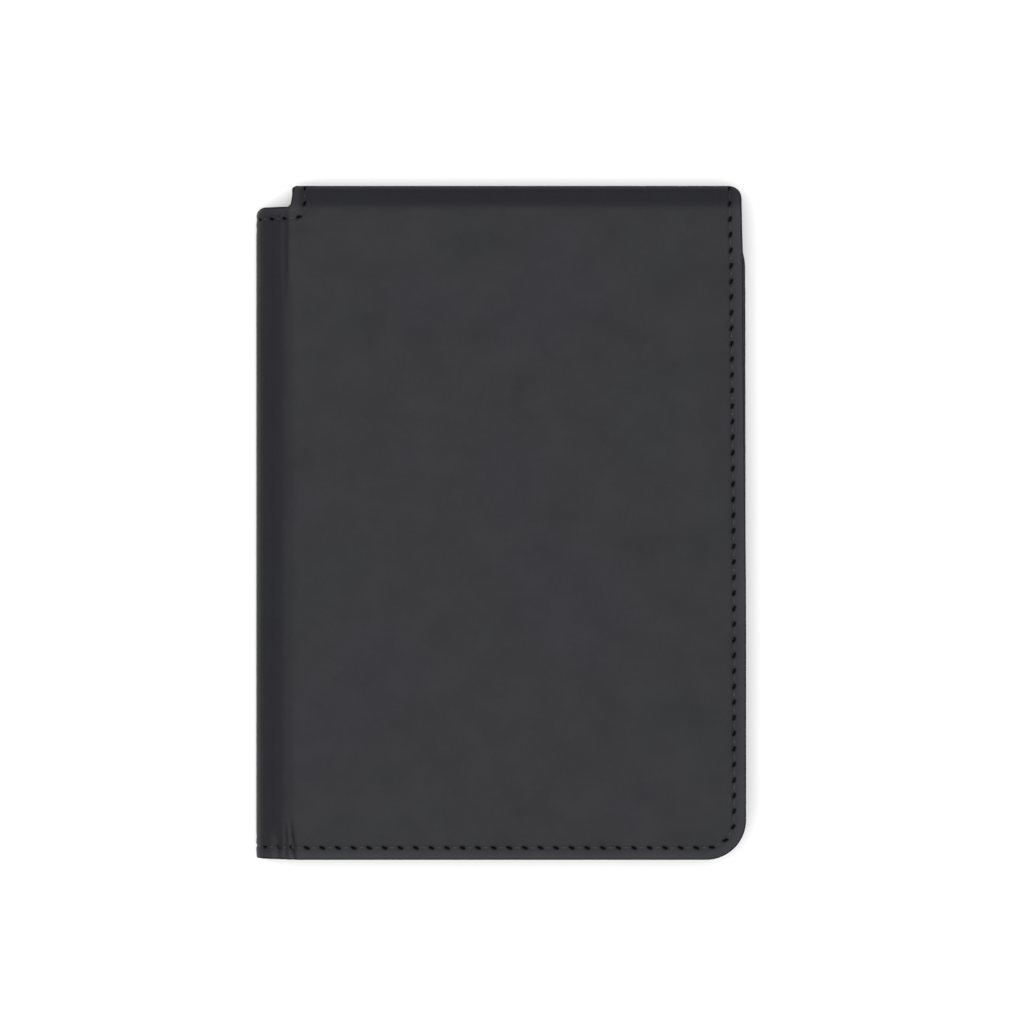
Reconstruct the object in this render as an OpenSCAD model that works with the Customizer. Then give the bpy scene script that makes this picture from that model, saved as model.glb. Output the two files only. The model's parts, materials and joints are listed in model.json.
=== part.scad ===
// Travel-size bifold wallet, closed and lying on its back cover.
// The fold is on the left, +Y points at the open end of the document sleeve, +Z is up,
// and the origin is the centre of the footprint on the surface that it lies on.
// The leather shell bends at three fold lines along Y: fold A at the foot of the spine,
// fold B at its top and fold C, the crease where the front cover starts.
// Every layer is mitred on the plane that halves the angle at each fold, so that the
// pieces only move apart as the wallet opens.

/* [Cover] */
// Width of the closed wallet, from the spine to the free edge
cover_w = 101.5; // [95:0.5:110]
// Height of the covers
cover_h = 140; // [132:1:150]
// Thickness of the closed wallet
closed_t = 9; // [8.6:0.1:12]
// Radius of the outer top corner of a cover
top_r = 2; // [1:0.5:5]
// Radius of the outer bottom corner of a cover
bottom_r = 8.3; // [5:0.1:12]
// How far the top of a cover's free edge stands back from the rest of it
edge_ease = 0.85; // [0:0.05:1.2]
// Height above the centre where the free edge reaches its full setback
ease_y = 57.5; // [52:0.5:62]
// Length over which the back cover's free edge eases back
back_ease_h = 7.5; // [5:0.5:20]
// Length over which the front cover's free edge leans back
front_ease_h = 92.5; // [20:0.5:100]

/* [Spine] */
// Height of the upright spine, from fold A to fold B
spine_h = 5; // [4.6:0.1:5.6]
// Distance of crease C from the outside of the spine
crease_in = 7.35; // [6:0.05:9]
// How far the spine stops short of the tops of the covers
notch_drop = 4.45; // [3:0.05:6]
// Clearance left on the mitre at each fold
fold_gap = 0.1; // [0.06:0.02:0.2]

/* [Layers] */
// Thickness of the outer leather
outer_t = 1; // [0.8:0.1:1.1]
// Thickness of the stiffening boards
board_t = 0.5; // [0.3:0.1:0.6]
// Thickness of the fabric linings
lining_t = 0.2; // [0.1:0.05:0.25]
// Clear gap inside the document sleeve
sleeve_gap = 0.3; // [0.2:0.05:0.4]
// Thickness of the inner panels
panel_t = 0.7; // [0.5:0.1:0.8]
// How far the turned top edges dip towards each other
hem_dip = 2.2; // [1:0.1:2.4]
// Height of the turned top edges
hem_h = 11.5; // [8:0.5:15]

/* [Inner panels] */
// Radius of the outer top corner of an inner panel
panel_r = 12.5; // [8:0.5:16]
// Width of the sewn rim that joins an inner panel to the outer leather
rim_w = 3.6; // [3.4:0.1:5]
// Thickness of the leather of one card slot
slot_t = 0.5; // [0.4:0.05:0.55]
// Height of the mouth of the lowest card slot above the centre of the cover
slot_y = 2; // [-4:1:4]
// Step from one card slot to the next
slot_step = 14; // [11:0.5:15]
// Distance of the card slots from crease C
slot_in = 2.4; // [2:0.1:4]
// Distance of the seam along the card slots from their edge
slot_seam_in = 1.8; // [1.4:0.1:2.4]
// Thickness of the leather of the passport pocket
pocket_t = 0.6; // [0.5:0.05:0.7]
// Width of the passport pocket
pocket_w = 55; // [45:1:70]

/* [Seams] */
// Distance of the seams from the edges
seam_in = 2.4; // [2:0.1:3]
// Distance from one stitch to the next
stitch_pitch = 3.1; // [2.8:0.1:3.6]
// Length of one visible stitch
stitch_len = 1.6; // [1:0.1:1.7]
// Thickness of the thread
thread_d = 0.3; // [0.2:0.05:0.3]
// Width of the groove that the thread lies in
groove_w = 0.6; // [0.5:0.1:0.8]

/* [Hidden] */
$fn = 48;

// Colours
leather_colour = [0.23, 0.23, 0.245];
inner_colour = [0.17, 0.17, 0.18];
lining_colour = [0.12, 0.12, 0.13];
board_colour = [0.5, 0.42, 0.33];
thread_colour = [0.06, 0.06, 0.065];

// Edges of the closed wallet
left_x = -cover_w / 2;
right_x = cover_w / 2;
bottom_y = -cover_h / 2;
top_y = cover_h / 2;
spine_top_y = top_y - notch_drop;
crease_x = left_x + crease_in;
eased_x = right_x - edge_ease;

// Depths of the layers under the outer face of a cover
board_d = outer_t;
lining_d = board_d + board_t;
sleeve_d = lining_d + lining_t;
panel_lining_d = sleeve_d + sleeve_gap;
panel_d = panel_lining_d + lining_t;
pocket_d = panel_d + panel_t;

// The three folds as points in the XZ plane, and the slope of the strip between B and C
fold_a = [left_x, 0];
fold_b = [left_x, spine_h];
fold_c = [crease_x, closed_t];
strip_angle = atan2(closed_t - spine_h, crease_in);
strip_len = norm(fold_c - fold_b);
mitre_a = 45;
mitre_b = (strip_angle - 90) / 2;
mitre_c = (strip_angle - 180) / 2;

// Seams and stitches
groove_d = thread_d + 0.1;
thread_depth = groove_d / 2;
seam_right_x = right_x - seam_in;
seam_top_x = eased_x - seam_in;
seam_bottom_y = bottom_y + seam_in;
seam_top_y = spine_top_y - seam_in;
corner_x = right_x - bottom_r;
corner_y = bottom_y + bottom_r;
corner_seam_r = bottom_r - seam_in;
seam_lean = atan2(seam_right_x - seam_top_x, spine_top_y - corner_y);
slot_count = 4;
slot_x = crease_x + slot_in;
slot_seam_x = slot_x + slot_seam_in;
pocket_x = right_x - pocket_w;

// Larger than the wallet, for cutting tools
reach = 200;
sliver = 0.01;

// ---- Placing ----

// Layers are drawn with their outer face at z = 0 and their depth along +Z.
module front_side() translate([0, 0, closed_t]) mirror([0, 0, 1]) children();

// A 2D shape in the XZ plane, extruded along Y from y0 to y1
module along_y(y0, y1) translate([0, y1, 0]) rotate([90, 0, 0]) linear_extrude(y1 - y0) children();

// A 2D shape in the YZ plane, extruded over the whole width along X
module along_x() translate([-reach / 2, 0, 0]) rotate([90, 0, 90]) linear_extrude(reach) children();

// All that lies on the left of a line through p in direction a, in the XZ plane
module side_of(p, a) translate(p) rotate(a) translate([-reach / 2, fold_gap / 2]) square([reach, reach / 2]);

module back_wedge() along_y(-reach / 2, reach / 2) side_of(fold_a, mitre_a + 180);

module front_wedge() along_y(-reach / 2, reach / 2) side_of(fold_c, mitre_c);

module spine_wedge() {
    intersection() {
        side_of(fold_a, mitre_a);
        side_of(fold_b, mitre_b + 180);
    }
}

module strip_wedge() {
    intersection() {
        side_of(fold_b, mitre_b);
        side_of(fold_c, mitre_c + 180);
    }
}

// Section of a layer from depth d0 to d1 under a face that runs from p in direction a
module section(p, a, run, d0, d1) translate(p) rotate(a) translate([-run, -d1]) square([3 * run, d1 - d0]);

// ---- Outlines in the XY plane ----

// What rounding takes off a right-hand corner, with up = 1 at the top and -1 at the bottom
module corner_trim(x, y, r, up) {
    translate([x - r, y - up * r])
        difference() {
            translate([0, up > 0 ? 0 : -r - 1]) square(r + 1);
            circle(r);
        }
}

module back_outline() {
    difference() {
        polygon([
            [left_x, bottom_y], [right_x, bottom_y],
            [right_x, ease_y - back_ease_h], [eased_x, ease_y],
            [eased_x, top_y], [crease_x, top_y],
            [crease_x, spine_top_y], [left_x, spine_top_y]
        ]);
        corner_trim(eased_x, top_y, top_r, 1);
        corner_trim(right_x, bottom_y, bottom_r, -1);
    }
}

module front_outline() {
    difference() {
        polygon([
            [crease_x, bottom_y], [right_x, bottom_y],
            [right_x, ease_y - front_ease_h], [eased_x, ease_y],
            [eased_x, top_y], [crease_x, top_y]
        ]);
        corner_trim(eased_x, top_y, top_r, 1);
        corner_trim(right_x, bottom_y, bottom_r, -1);
    }
}

// The part of a cover's outline that is under an inner panel
module panel_area(x0, x1) {
    difference() {
        translate([x0, bottom_y]) square([x1 - x0, spine_top_y - bottom_y]);
        corner_trim(x1, spine_top_y, panel_r, 1);
        corner_trim(x1, bottom_y, bottom_r, -1);
    }
}

// The area inside the sewn rim, up to y1
module lined_area(y1) {
    intersection() {
        panel_area(left_x, eased_x - rim_w);
        translate([left_x, bottom_y + rim_w]) square([cover_w, y1 - bottom_y - rim_w]);
    }
}

// Where the top edge of the leather is turned in, between crease C and the sewn rim
module hem_area() translate([crease_x, top_y - hem_h]) square([eased_x - rim_w - crease_x, hem_h]);

// ---- Seams ----

module stitch(x, y, a) {
    translate([x, y, thread_depth]) rotate([0, 0, a]) rotate([0, 90, 0])
        cylinder(h = stitch_len, d = thread_d, center = true);
}

// Free edge, bottom corner and bottom edge, from the top down to x0
module cover_seam(x0) {
    side_run = (spine_top_y - corner_y) / cos(seam_lean);
    for (s = [stitch_pitch / 2 : stitch_pitch : side_run - stitch_len])
        stitch(seam_right_x - s * sin(seam_lean), corner_y + s * cos(seam_lean), 90 + seam_lean);
    turn = stitch_pitch / corner_seam_r * 180 / PI;
    for (a = [turn / 2 : turn : 90])
        stitch(corner_x + corner_seam_r * sin(a), corner_y - corner_seam_r * cos(a), a);
    for (x = [corner_x - stitch_pitch / 2 : -stitch_pitch : x0 + stitch_len])
        stitch(x, seam_bottom_y, 0);
}

module cover_groove() {
    translate([0, 0, -sliver]) linear_extrude(groove_d + sliver) {
        translate([seam_right_x, corner_y]) rotate(seam_lean)
            translate([-groove_w / 2, 0]) square([groove_w, spine_top_y - corner_y]);
        intersection() {
            difference() {
                translate([corner_x, corner_y]) circle(corner_seam_r + groove_w / 2);
                translate([corner_x, corner_y]) circle(corner_seam_r - groove_w / 2);
            }
            translate([corner_x, bottom_y]) square(bottom_r);
        }
        translate([left_x - 1, seam_bottom_y - groove_w / 2]) square([corner_x - left_x + 1, groove_w]);
    }
}

// Top seam of the spine, where it runs on over the back cover
module back_top_groove() {
    translate([left_x - 1, seam_top_y - groove_w / 2, -sliver])
        cube([crease_in, groove_w, groove_d + sliver]);
}

// Stitches across a folded zone that starts at p, runs in direction a and takes n stitches
module fold_seam(p, a, run, n) {
    for (y = [seam_bottom_y, seam_top_y])
        for (i = [0 : n - 1])
            translate([p.x, y, p.y]) rotate([0, -a, 0])
                translate([(i + 0.5) * run / n, 0, -thread_depth])
                    rotate([0, 90, 0]) cylinder(h = stitch_len, d = thread_d, center = true);
}

module fold_grooves(p, a, run) {
    for (y = [seam_bottom_y, seam_top_y])
        along_y(y - groove_w / 2, y + groove_w / 2) section(p, a, run, -sliver, groove_d);
}

// ---- Pieces that both covers have ----

// Outer leather: flat up to the top of the spine, then dipping inwards
module outer_leather() {
    difference() {
        intersection() {
            linear_extrude(outer_t + hem_dip) children();
            along_x() polygon([
                [bottom_y - 1, 0], [spine_top_y, 0], [top_y, hem_dip],
                [top_y, hem_dip + outer_t], [spine_top_y, outer_t], [bottom_y - 1, outer_t]
            ]);
        }
        cover_groove();
    }
}

// The top edge of the leather where it is turned in, seen from the sleeve
module turned_hem() {
    intersection() {
        linear_extrude(sleeve_d + hem_dip) intersection() {
            children();
            hem_area();
        }
        along_x() polygon([
            [top_y - hem_h, outer_t], [spine_top_y, outer_t], [top_y, hem_dip + outer_t],
            [top_y, hem_dip + sleeve_d], [spine_top_y, sleeve_d], [top_y - hem_h, sleeve_d]
        ]);
    }
}

module board() {
    color(board_colour) translate([0, 0, board_d])
        linear_extrude(board_t) lined_area(top_y - hem_h);
}

module sleeve_lining() {
    color(lining_colour) translate([0, 0, lining_d])
        linear_extrude(lining_t) lined_area(top_y - hem_h);
}

module panel_lining() {
    color(lining_colour) translate([0, 0, panel_lining_d])
        linear_extrude(lining_t) lined_area(spine_top_y);
}

// Inner panel with the rim along its free edge and its bottom edge
module inner_panel() {
    translate([0, 0, panel_d]) linear_extrude(panel_t) children();
    translate([0, 0, outer_t]) linear_extrude(panel_d - outer_t)
        difference() {
            children();
            lined_area(spine_top_y + 1);
            hem_area();
        }
}

// ---- Back cover ----

module back_outer_leather() {
    color(leather_colour) intersection() {
        back_wedge();
        difference() {
            outer_leather() back_outline();
            back_top_groove();
        }
    }
}

module back_turned_hem() color(leather_colour) turned_hem() back_outline();

module back_board() intersection() { back_wedge(); board(); }

module back_sleeve_lining() intersection() { back_wedge(); sleeve_lining(); }

module back_panel_lining() intersection() { back_wedge(); panel_lining(); }

module back_inner_panel() {
    color(inner_colour) intersection() {
        back_wedge();
        inner_panel() panel_area(left_x, right_x);
    }
}

// Where the mouth of card slot i is, counted from the top one
function slot_mouth(i) = slot_y + (slot_count - i) * slot_step;

// Where the leather of the next slot starts to cover slot i
function slot_shown_from(i) = i < slot_count ? slot_mouth(i + 1) : seam_bottom_y + seam_in;

module card_slot(i) {
    top_d = pocket_d + i * slot_t;
    color(inner_colour) difference() {
        translate([0, 0, top_d - slot_t]) linear_extrude(slot_t)
            intersection() {
                panel_area(slot_x, right_x);
                translate([slot_x, bottom_y]) square([cover_w, slot_mouth(i) - bottom_y]);
            }
        translate([slot_seam_x - groove_w / 2, slot_shown_from(i), top_d - groove_d])
            cube([groove_w, slot_mouth(i) - slot_shown_from(i) + 1, groove_d + 1]);
    }
}

module card_slot_stitches() {
    color(thread_colour) for (i = [1 : slot_count])
        for (y = [slot_shown_from(i) + stitch_pitch / 2 : stitch_pitch : slot_mouth(i) - stitch_len])
            translate([0, 0, pocket_d + i * slot_t - groove_d]) stitch(slot_seam_x, y, 90);
}

module back_seam_stitches() {
    color(thread_colour) {
        cover_seam(left_x);
        for (x = [left_x + stitch_pitch / 2 : stitch_pitch : crease_x - stitch_len])
            stitch(x, seam_top_y, 0);
    }
}

// ---- Spine ----

module spine_layer(d0, d1) {
    along_y(bottom_y, spine_top_y) intersection() {
        section(fold_a, 90, spine_h, d0, d1);
        spine_wedge();
    }
}

module spine_leather() {
    color(leather_colour) difference() {
        spine_layer(0, outer_t);
        fold_grooves(fold_a, 90, spine_h);
    }
}

module spine_sleeve_lining() color(lining_colour) spine_layer(outer_t, outer_t + lining_t);

module spine_inner_leather() {
    start = outer_t + lining_t + sleeve_gap;
    color(inner_colour) spine_layer(start, start + panel_t);
}

module spine_stitches() color(thread_colour) fold_seam(fold_a, 90, spine_h, 2);

// ---- Hinge strip, the sloping zone between the spine and the front cover ----

module strip_layer(d0, d1) {
    along_y(bottom_y, spine_top_y) intersection() {
        section(fold_b, strip_angle, strip_len, d0, d1);
        strip_wedge();
    }
}

module hinge_strip_leather() {
    color(leather_colour) difference() {
        strip_layer(0, outer_t);
        fold_grooves(fold_b, strip_angle, strip_len);
    }
}

module hinge_strip_sleeve_lining() color(lining_colour) strip_layer(outer_t, outer_t + lining_t);

module hinge_strip_inner_leather() {
    start = outer_t + lining_t + sleeve_gap;
    color(inner_colour) strip_layer(start, start + panel_t);
}

module hinge_strip_stitches() color(thread_colour) fold_seam(fold_b, strip_angle, strip_len, 3);

// ---- Front cover ----

module front_outer_leather() {
    color(leather_colour) intersection() {
        front_wedge();
        front_side() outer_leather() front_outline();
    }
}

module front_turned_hem() {
    color(leather_colour) intersection() {
        front_wedge();
        front_side() turned_hem() front_outline();
    }
}

module front_board() intersection() { front_wedge(); front_side() board(); }

module front_sleeve_lining() intersection() { front_wedge(); front_side() sleeve_lining(); }

module front_panel_lining() intersection() { front_wedge(); front_side() panel_lining(); }

// The area of an inner panel that also stays inside the front cover's free edge
module front_panel_area(x0) {
    intersection() {
        panel_area(x0, right_x);
        front_outline();
    }
}

module front_inner_panel() {
    color(inner_colour) intersection() {
        front_wedge();
        front_side() inner_panel() front_panel_area(crease_x);
    }
}

module passport_pocket() {
    color(inner_colour) front_side() difference() {
        translate([0, 0, pocket_d]) linear_extrude(pocket_t) front_panel_area(pocket_x);
        translate([pocket_x - 1, seam_top_y - groove_w / 2, pocket_d + pocket_t - groove_d])
            cube([right_x - panel_r - pocket_x + 1, groove_w, groove_d + 1]);
    }
}

module passport_pocket_stitches() {
    color(thread_colour) front_side()
        for (x = [pocket_x + stitch_pitch / 2 : stitch_pitch : right_x - panel_r - stitch_len])
            translate([0, 0, pocket_d + pocket_t - groove_d]) stitch(x, seam_top_y, 0);
}

module front_seam_stitches() color(thread_colour) front_side() cover_seam(crease_x);

// ---- Nodes ----

back_outer_leather();
back_turned_hem();
back_board();
back_sleeve_lining();
back_panel_lining();
back_inner_panel();
for (i = [1 : slot_count])
    card_slot(i);
card_slot_stitches();
back_seam_stitches();
spine_leather();
spine_sleeve_lining();
spine_inner_leather();
spine_stitches();
hinge_strip_leather();
hinge_strip_sleeve_lining();
hinge_strip_inner_leather();
hinge_strip_stitches();
front_outer_leather();
front_turned_hem();
front_board();
front_sleeve_lining();
front_panel_lining();
front_inner_panel();
passport_pocket();
passport_pocket_stitches();
front_seam_stitches();
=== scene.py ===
import json
import math

import bpy
import numpy as np
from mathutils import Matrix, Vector
from mathutils.geometry import delaunay_2d_cdt
from mathutils.kdtree import KDTree


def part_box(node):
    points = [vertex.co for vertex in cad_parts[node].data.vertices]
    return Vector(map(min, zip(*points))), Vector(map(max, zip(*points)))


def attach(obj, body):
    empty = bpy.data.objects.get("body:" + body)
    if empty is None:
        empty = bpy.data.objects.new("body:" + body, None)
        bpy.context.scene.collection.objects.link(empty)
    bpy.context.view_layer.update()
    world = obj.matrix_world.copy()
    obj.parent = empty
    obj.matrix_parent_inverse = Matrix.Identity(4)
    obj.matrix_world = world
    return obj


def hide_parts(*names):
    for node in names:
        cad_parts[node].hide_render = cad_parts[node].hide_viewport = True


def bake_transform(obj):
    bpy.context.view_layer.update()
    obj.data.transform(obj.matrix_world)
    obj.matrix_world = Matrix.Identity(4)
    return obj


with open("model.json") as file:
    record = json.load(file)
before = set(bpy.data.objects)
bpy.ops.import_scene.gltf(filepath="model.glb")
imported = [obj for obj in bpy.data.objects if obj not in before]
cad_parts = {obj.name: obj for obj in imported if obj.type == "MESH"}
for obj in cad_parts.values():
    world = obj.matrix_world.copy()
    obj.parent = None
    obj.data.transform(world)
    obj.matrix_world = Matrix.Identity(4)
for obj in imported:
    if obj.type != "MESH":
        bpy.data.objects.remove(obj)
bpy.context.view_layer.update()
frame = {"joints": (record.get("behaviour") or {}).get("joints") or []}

# A closed travel wallet. Every sheet of leather or fabric is drawn on a flat pattern with two
# coordinates: s runs along the leather from the back cover's free edge, round the spine, to the
# front cover's free edge, and y runs towards the notch. A third one, depth, goes from the
# outer face into the wallet. place() turns (s, y, depth) into a point. All lengths here are in
# millimetres and MM turns them into metres.

MM = 0.001


# ---- sizes taken from the frame

def box_mm(node):
    """Lowest and highest corner of a CAD node, in millimetres."""
    low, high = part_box(node)
    return low / MM, high / MM


JOINT_AT = {j["name"]: Vector(j["pos_m"]) / MM for j in frame["joints"]}
FOLD_A = JOINT_AT["spine_fold"]
FOLD_B = JOINT_AT["hinge_strip_fold"]
FOLD_C = JOINT_AT["cover_crease"]

LEFT = FOLD_A.x
RIGHT = box_mm("back_outer_leather")[1].x
BOTTOM = box_mm("back_outer_leather")[0].y
TOP = box_mm("back_outer_leather")[1].y
EASED = RIGHT - 0.85  # free edge at the top of a cover
SPINE_TOP = box_mm("spine_leather")[1].y
THICK = FOLD_C.z

LEATHER_T = box_mm("back_board")[0].z
LINING_D = box_mm("back_sleeve_lining")[0].z
LINING_T = box_mm("back_sleeve_lining")[1].z - LINING_D
PANEL_LINING_D = box_mm("back_panel_lining")[0].z
PANEL_D = box_mm("back_panel_lining")[1].z
PANEL_T = box_mm("back_inner_panel")[1].z - PANEL_D
SLOT_T = box_mm("card_slot_1")[1].z - box_mm("card_slot_1")[0].z
POCKET_T = box_mm("passport_pocket")[1].z - box_mm("passport_pocket")[0].z
HEM_DIP = box_mm("back_outer_leather")[1].z - LEATHER_T
HEM_LOW = box_mm("back_turned_hem")[0].y

# ---- the path of the outer face

FOOT_R = 2.5  # bend at fold A
HEAD_R = 3.9  # bend at fold B
CREASE_R = 9.5  # soft bend at crease C
CREASE_SHIFT = -0.5  # where the visible crease turns, beside fold C


def turned(direction, angle):
    """direction turned by angle, to the right of the travel in the XZ plane."""
    c, s = math.cos(angle), math.sin(angle)
    return (direction[0] * c + direction[1] * s, -direction[0] * s + direction[1] * c)


def make_path():
    """Straight and round stretches of the outer face, each as a dict, from the back cover's free edge on."""
    crease = (FOLD_C.x + CREASE_SHIFT, FOLD_C.z)
    slope = math.atan2(crease[1] - FOLD_B.z, crease[0] - FOLD_B.x)
    turn_b, turn_c = math.pi / 2 - slope, slope
    reach_a = FOOT_R
    reach_b = HEAD_R * math.tan(turn_b / 2)
    reach_c = CREASE_R * math.tan(turn_c / 2)
    strip = math.hypot(crease[0] - FOLD_B.x, crease[1] - FOLD_B.z)
    plan = [
        ("back", RIGHT - LEFT - reach_a, 0, 0),
        ("foot", FOOT_R * math.pi / 2, FOOT_R, math.pi / 2),
        ("spine", FOLD_B.z - reach_a - reach_b, 0, 0),
        ("head", HEAD_R * turn_b, HEAD_R, turn_b),
        ("strip", strip - reach_b - reach_c, 0, 0),
        ("crease", CREASE_R * turn_c, CREASE_R, turn_c),
        ("front", RIGHT - crease[0] - reach_c, 0, 0),
    ]
    at, heading, s = (RIGHT, 0.0), (-1.0, 0.0), 0.0
    path = {}
    for name, length, r, turn in plan:
        path[name] = {"s": s, "length": length, "at": at, "heading": heading, "r": r}
        if r:
            inward = (heading[1], -heading[0])
            centre = (at[0] + inward[0] * r, at[1] + inward[1] * r)
            heading = turned(heading, turn)
            at = (centre[0] - heading[1] * r, centre[1] + heading[0] * r)
        else:
            at = (at[0] + heading[0] * length, at[1] + heading[1] * length)
        s += length
    return path


PATH = make_path()
S_END = PATH["front"]["s"] + PATH["front"]["length"]
SPLIT_Z = 2.9  # height of the split on the spine, clear of both bends
S_SPINE = PATH["spine"]["s"] + SPLIT_Z - FOOT_R  # where the back mesh meets the middle one
S_STRIP = PATH["strip"]["s"] + PATH["strip"]["length"] / 2  # where the middle mesh meets the front one


def place(s, y, depth):
    """Points in the row frame, in millimetres, for arrays of pattern coordinates."""
    s, y, depth = np.broadcast_arrays(*(np.asarray(v, float) for v in (s, y, depth)))
    out = np.zeros(s.shape + (3,))
    out[..., 1] = y
    names = list(PATH)
    for i, name in enumerate(names):
        seg = PATH[name]
        low = -np.inf if i == 0 else seg["s"]
        high = np.inf if i == len(names) - 1 else seg["s"] + seg["length"]
        here = (s >= low) & (s < high)
        if not here.any():
            continue
        run = s[here] - seg["s"]
        hx, hz = seg["heading"]
        if seg["r"]:
            r = seg["r"]
            angle = run / r
            cx, cz = seg["at"][0] + hz * r, seg["at"][1] - hx * r
            tx = hx * np.cos(angle) + hz * np.sin(angle)
            tz = -hx * np.sin(angle) + hz * np.cos(angle)
            out[here, 0] = cx - tz * (r - depth[here])
            out[here, 2] = cz + tx * (r - depth[here])
        else:
            out[here, 0] = seg["at"][0] + hx * run + hz * depth[here]
            out[here, 2] = seg["at"][1] + hz * run - hx * depth[here]
    return out


def back_s(x):
    return RIGHT - x


def front_s(x):
    """Pattern coordinate of a place on the front cover or in the crease."""
    flat_x = PATH["front"]["at"][0]
    if x >= flat_x:
        return PATH["front"]["s"] + x - flat_x
    return PATH["front"]["s"] - CREASE_R * math.asin((flat_x - x) / CREASE_R)


# ---- small mathematics

def smooth(x, a, b):
    """0 before a, 1 after b and a smooth step between them."""
    t = np.clip((np.asarray(x, float) - a) / (b - a), 0, 1)
    return t * t * (3 - 2 * t)


def bell(x, width):
    return np.exp(-(np.asarray(x, float) / width) ** 2)


def soft_ramp(x, width):
    """0 well before 0 and x well after it, with a rounded corner."""
    x = np.asarray(x, float)
    return 0.5 * (x + np.sqrt(x * x + width * width))


def line(a, b, step):
    """Points from a to b without b, at most step apart."""
    n = max(1, math.ceil(math.dist(a, b) / step))
    return [(a[0] + (b[0] - a[0]) * i / n, a[1] + (b[1] - a[1]) * i / n) for i in range(n)]


def arc(centre, r, start, end, step):
    """Points of an arc from angle start to end in degrees, without its last one."""
    n = max(2, math.ceil(abs(math.radians(end - start)) * r / step))
    angles = [math.radians(start + (end - start) * i / n) for i in range(n)]
    return [(centre[0] + r * math.cos(a), centre[1] + r * math.sin(a)) for a in angles]


def inside(points, loop):
    """Which points lie inside a closed loop."""
    result = np.zeros(len(points), bool)
    x, y = points[:, 0], points[:, 1]
    for (x0, y0), (x1, y1) in zip(loop, np.roll(loop, -1, axis=0)):
        if y0 == y1:
            continue
        crosses = (y0 > y) != (y1 > y)
        result ^= crosses & (x < (x1 - x0) * (y - y0) / (y1 - y0) + x0)
    return result


def pairs(s, y):
    return np.column_stack([np.asarray(s, float), np.asarray(y, float)])


def near(points, others):
    """Distance from each point to the nearest of the others, and that one's index."""
    tree = KDTree(len(others))
    for i, (a, b) in enumerate(others):
        tree.insert((a, b, 0), i)
    tree.balance()
    found = [tree.find((a, b, 0))[1:] for a, b in points]
    index = np.array([i for i, _ in found], int)
    return np.array([d for _, d in found], float), index


def nearest(points, others):
    return near(points, others)[0]


# ---- outlines on the pattern

CORNER_R = 8.3  # outer bottom corner of a cover
TOP_R = 2.6  # outer top corner of a cover
PANEL_R = 12.5  # outer top corner of an inner panel
NOTCH_FOOT_X = FOLD_C.x - 0.45  # notch edge at the spine's top
NOTCH_HEAD_X = FOLD_C.x - 0.2  # notch edge at the cover's top
NOTCH_FILLET = 0.8
NOTCH_R = 0.6
SPINE_CORNER_R = 1.3  # corner of the spine's top edge at a bend
FRONT_LEAN, LEAN_RUN = 0.6, (-25, 58)  # how much the front's free edge leans in, and over which y
FRONT_EASE, EASE_RUN = 0.3, (50, 68)  # how much further it is eased at the top
BACK_EASE_RUN = (48, 58)
FRONT_PROUD = 0.15  # how far the soft front edge stands out
BACK_PROUD = 0.42  # how far the back cover stands out past the front
EDGE_STEP = 0.55  # distance between points along an edge
WEAR_REACH = 0.28  # how far wear reaches in from an edge


def front_edge(y):
    """Free edge of the front cover, which leans in a little towards the top."""
    return RIGHT + FRONT_PROUD - FRONT_LEAN * smooth(y, *LEAN_RUN) - FRONT_EASE * smooth(y, *EASE_RUN)


def back_edge(y):
    """Free edge of the back cover, straight and then eased back at its top."""
    return RIGHT + BACK_PROUD - (RIGHT - EASED) * smooth(y, *BACK_EASE_RUN)


def spine_top(s):
    """Top edge of the leather between the two covers, round at both bends as seen from above."""
    s = np.asarray(s, float)
    from_foot = np.clip((PATH["spine"]["s"] - s) / FOOT_R, 0, math.pi / 2)
    from_head = np.clip((s - PATH["head"]["s"]) / HEAD_R, 0, math.pi / 2)
    across = FOOT_R * (1 - np.cos(from_foot)) + HEAD_R * (1 - np.cos(from_head))
    missing = SPINE_CORNER_R - np.minimum(across, SPINE_CORNER_R)
    return SPINE_TOP - SPINE_CORNER_R + np.sqrt(SPINE_CORNER_R ** 2 - missing ** 2)


def free_side(edge, low, high):
    """Points up the free edge of a cover from y low to y high."""
    n = math.ceil((high - low) / EDGE_STEP)
    ys = [low + (high - low) * i / n for i in range(n)]
    return [(float(edge(y)), y) for y in ys]


def cover_corner_path(edge):
    """Bottom corner, free edge and top corner of a cover's leather, upwards, in x and y."""
    points = arc((float(edge(BOTTOM)) - CORNER_R, BOTTOM + CORNER_R), CORNER_R, -90, 0, EDGE_STEP)
    points += free_side(edge, BOTTOM + CORNER_R, TOP - TOP_R)
    points += arc((float(edge(TOP)) - TOP_R, TOP - TOP_R), TOP_R, 0, 90, EDGE_STEP / 2)
    return points


def notch_path():
    """From the cover's top edge down the notch to the spine's top edge, in x and y."""
    lean = math.degrees(math.atan2(NOTCH_HEAD_X - NOTCH_FOOT_X, TOP - SPINE_TOP))
    points = arc((NOTCH_HEAD_X + NOTCH_R, TOP - NOTCH_R), NOTCH_R, 90, 180 - lean, 0.2)
    centre = (NOTCH_FOOT_X - NOTCH_FILLET + 0.15, SPINE_TOP + NOTCH_FILLET)
    points += arc(centre, NOTCH_FILLET, -lean, -90, 0.2)
    return points + [(centre[0], SPINE_TOP)]


def dense(points, step):
    """A closed polyline with its long stretches divided."""
    result = []
    for a, b in zip(points, points[1:] + points[:1]):
        result += line(a, b, step)
    return result


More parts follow.
